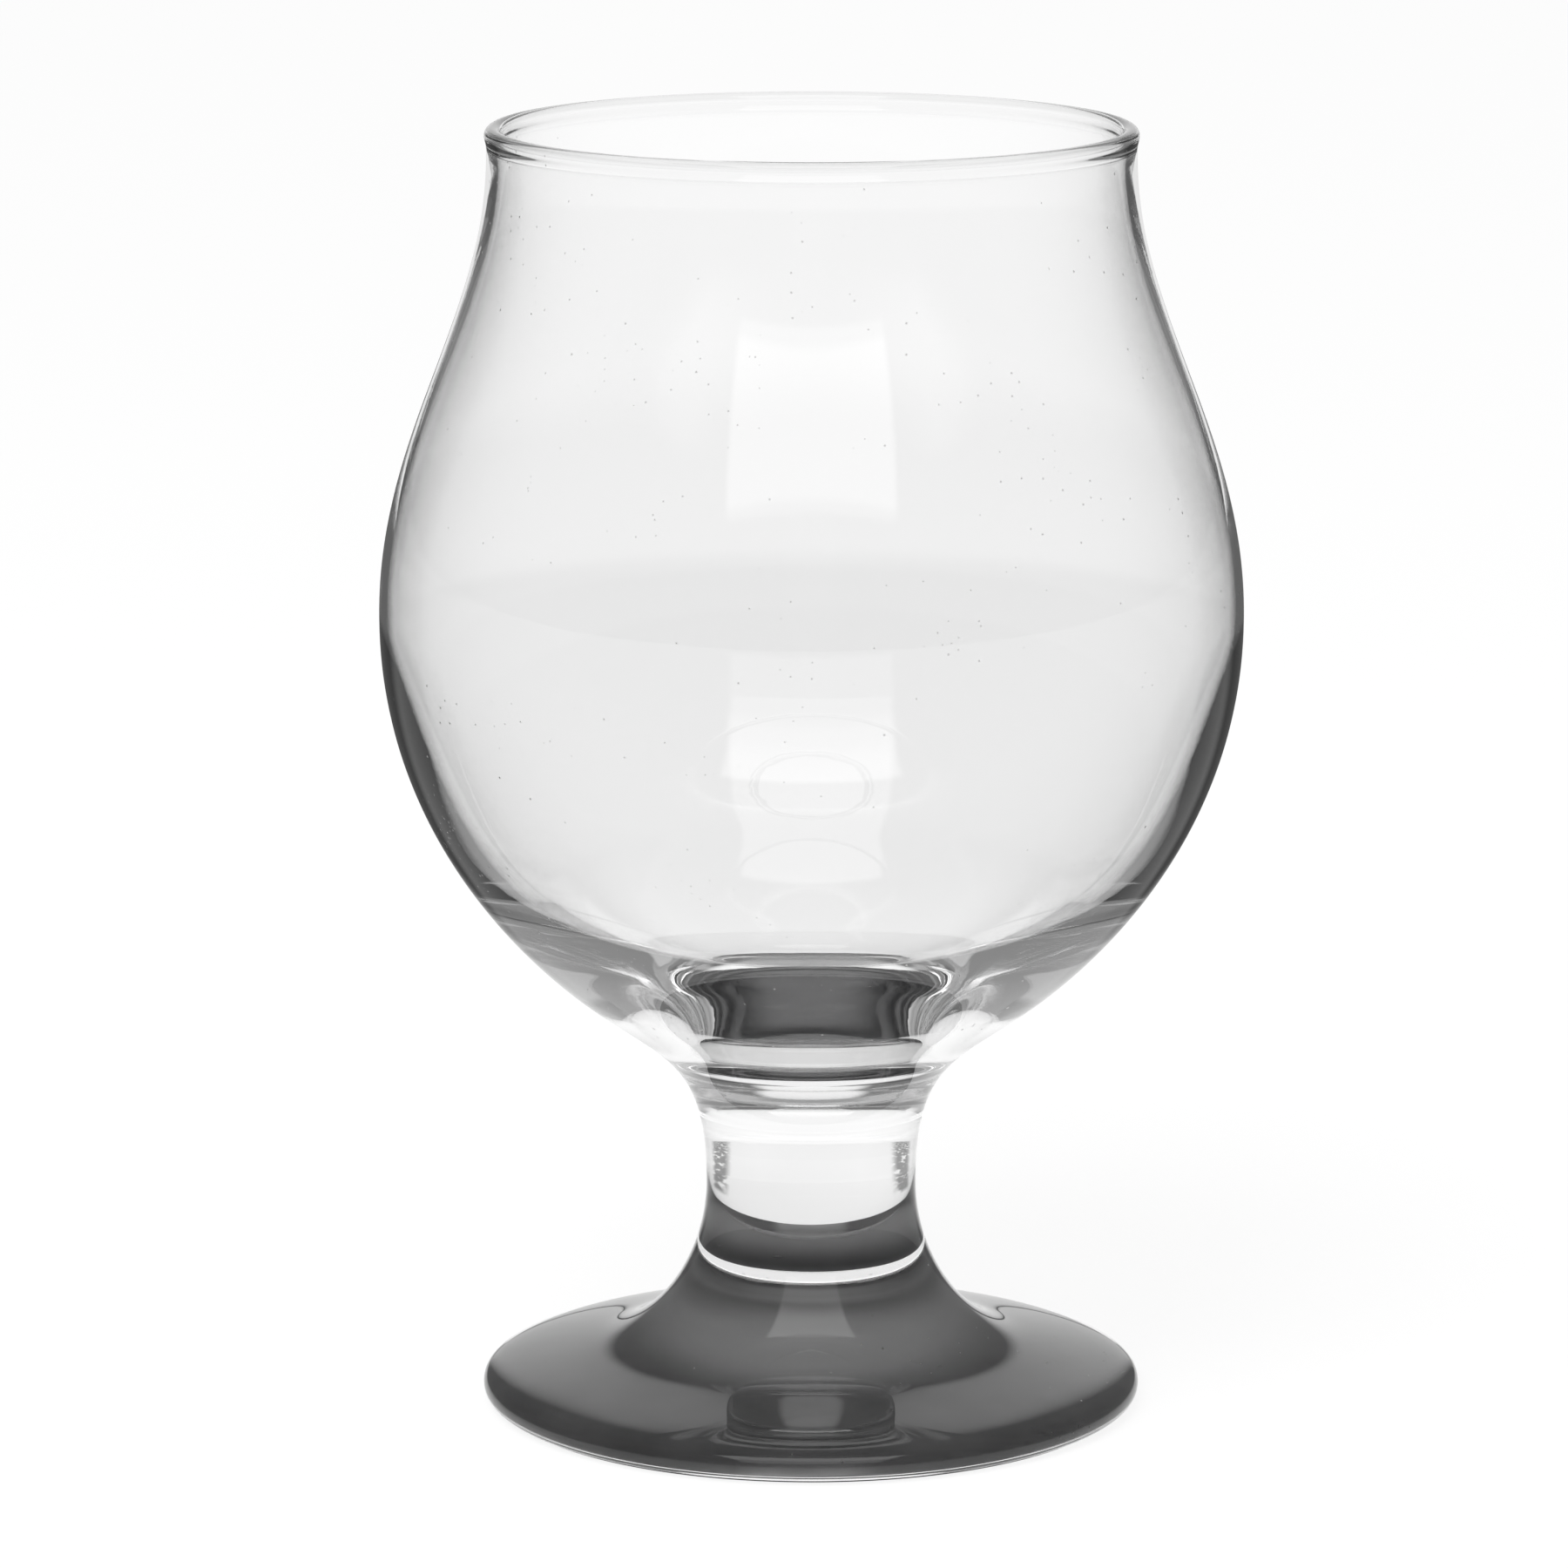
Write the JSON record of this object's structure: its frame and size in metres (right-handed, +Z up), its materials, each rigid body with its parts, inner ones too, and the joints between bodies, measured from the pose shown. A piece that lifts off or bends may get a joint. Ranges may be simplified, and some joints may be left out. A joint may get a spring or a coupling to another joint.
{
  "type": "stemmed beer glass",
  "caption": "Clear tulip-shaped stemmed beer glass: a round bowl drawn in to a neck with a beaded rim, a short solid waisted stem and a round foot with a dark grey coat under it.",
  "frame": {"origin": "centre of the ring on which the foot stands, on the plane the glass rests on", "axes": "+Z up along the axis the glass is turned about, -Y towards the viewer of the picture"},
  "size_m": [0.0972, 0.0972, 0.146],
  "materials": {
    "bowl_glass": "blown and fire-polished clear glass",
    "stem_glass": "fire-polished clear glass, solid",
    "foot_glass": "pressed and fire-polished clear glass",
    "foot_coat": "dark grey lacquer on the glass, seen through the foot"
  },
  "bodies": {
    "root": {"bowl": "bowl_glass", "stem": "stem_glass", "foot": "foot_glass", "foot_coat": "foot_coat"}
  },
  "joints": []
}
